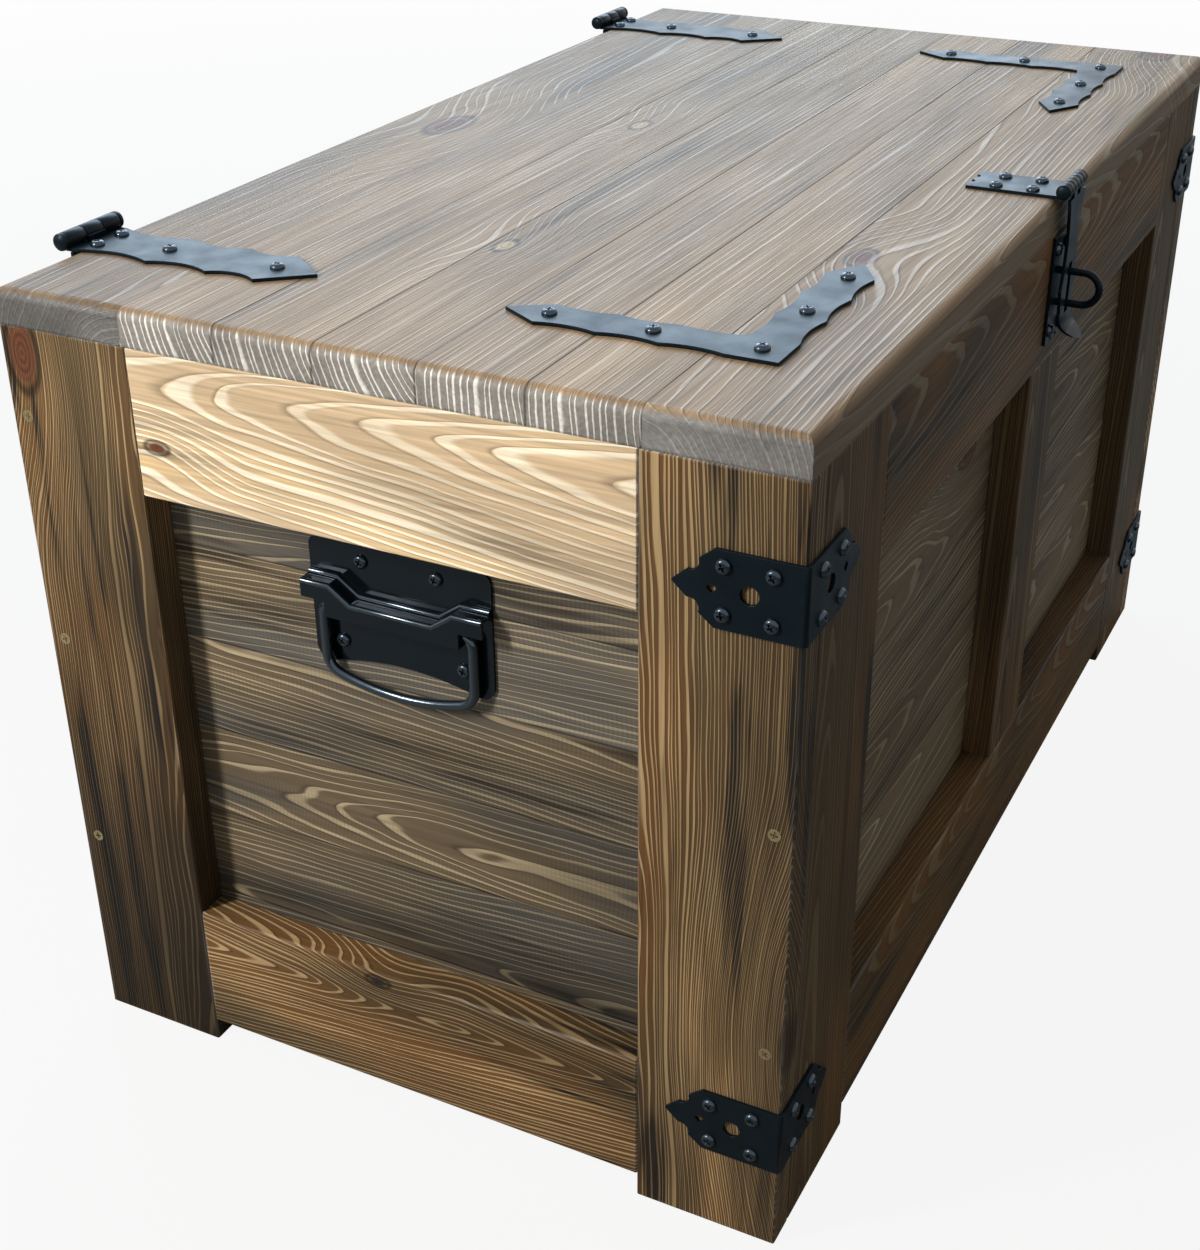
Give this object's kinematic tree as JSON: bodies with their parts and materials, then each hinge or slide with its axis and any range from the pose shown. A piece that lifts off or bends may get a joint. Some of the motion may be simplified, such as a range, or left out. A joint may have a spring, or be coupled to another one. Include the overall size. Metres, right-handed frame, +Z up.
{
  "type": "storage chest",
  "caption": "Rectangular framed pine storage chest with a flat hinged lid, black strap hinges, corner brackets, a swinging hasp over a padlock staple, and drop handles on both ends.",
  "frame": {"origin": "on the floor, under the middle of the carcass in length and depth", "axes": "+X along the length towards the right-hand end seen from the front, +Y from the hasp side to the hinge side, +Z up"},
  "size_m": [0.8088, 0.4896, 0.4798],
  "materials": {
    "pine_frame": "brushed and stained",
    "pine_panels": "brushed and stained",
    "pine_lid": "brushed and stained",
    "black_coated_steel": "satin black",
    "zinc_plated_steel": "bright zinc"
  },
  "bodies": {
    "carcass": {"back_bottom_rail": "pine_frame", "back_floor_bearer": "pine_panels", "back_left_stile": "pine_frame", "back_middle_stile": "pine_frame", "back_panel": "pine_panels", "back_right_stile": "pine_frame", "back_top_rail": "pine_frame", "bracket_screws": "black_coated_steel", "corner_brackets": "black_coated_steel", "floor_panel": "pine_panels", "frame_screws": "zinc_plated_steel", "front_bottom_rail": "pine_frame", "front_floor_bearer": "pine_panels", "front_left_stile": "pine_frame", "front_middle_stile": "pine_frame", "front_panel": "pine_panels", "front_right_stile": "pine_frame", "front_top_rail": "pine_frame", "handle_screws": "black_coated_steel", "hinge_leaf_screws": "black_coated_steel", "left_end_back_stile": "pine_frame", "left_end_bottom_rail": "pine_frame", "left_end_front_stile": "pine_frame", "left_end_panel": "pine_panels", "left_end_top_rail": "pine_frame", "left_handle_plate": "black_coated_steel", "left_hinge_back_leaf": "black_coated_steel", "left_hinge_pin": "black_coated_steel", "right_end_back_stile": "pine_frame", "right_end_bottom_rail": "pine_frame", "right_end_front_stile": "pine_frame", "right_end_panel": "pine_panels", "right_end_top_rail": "pine_frame", "right_handle_plate": "black_coated_steel", "right_hinge_back_leaf": "black_coated_steel", "right_hinge_pin": "black_coated_steel", "staple": "black_coated_steel", "staple_plate": "black_coated_steel", "staple_screws": "black_coated_steel"},
    "lid": {"hasp_leaf": "black_coated_steel", "hasp_pin": "black_coated_steel", "left_hinge_strap": "black_coated_steel", "lid_back_board": "pine_lid", "lid_corner_straps": "black_coated_steel", "lid_front_board": "pine_lid", "lid_left_batten": "pine_lid", "lid_panel": "pine_lid", "lid_right_batten": "pine_lid", "lid_screws": "black_coated_steel", "right_hinge_strap": "black_coated_steel"},
    "hasp": {"hasp_strap": "black_coated_steel"},
    "left_bail": {"left_bail": "black_coated_steel"},
    "right_bail": {"right_bail": "black_coated_steel"}
  },
  "joints": [
    {"name": "lid_hinge", "type": "hinge", "parent": "carcass", "child": "lid", "pos_m": [0, 0.231, 0.475], "axis": [-1, 0, 0], "range_deg": [0, 105]},
    {"name": "hasp_swing", "type": "hinge", "parent": "lid", "child": "hasp", "pos_m": [0, -0.2285, 0.475], "axis": [-1, 0, 0], "range_deg": [0, 250]},
    {"name": "left_bail_swing", "type": "hinge", "parent": "carcass", "child": "left_bail", "pos_m": [-0.386, 0, 0.3225], "axis": [0, 1, 0], "range_deg": [0, 90]},
    {"name": "right_bail_swing", "type": "hinge", "parent": "carcass", "child": "right_bail", "pos_m": [0.386, 0, 0.3225], "axis": [0, -1, 0], "range_deg": [0, 90]}
  ]
}
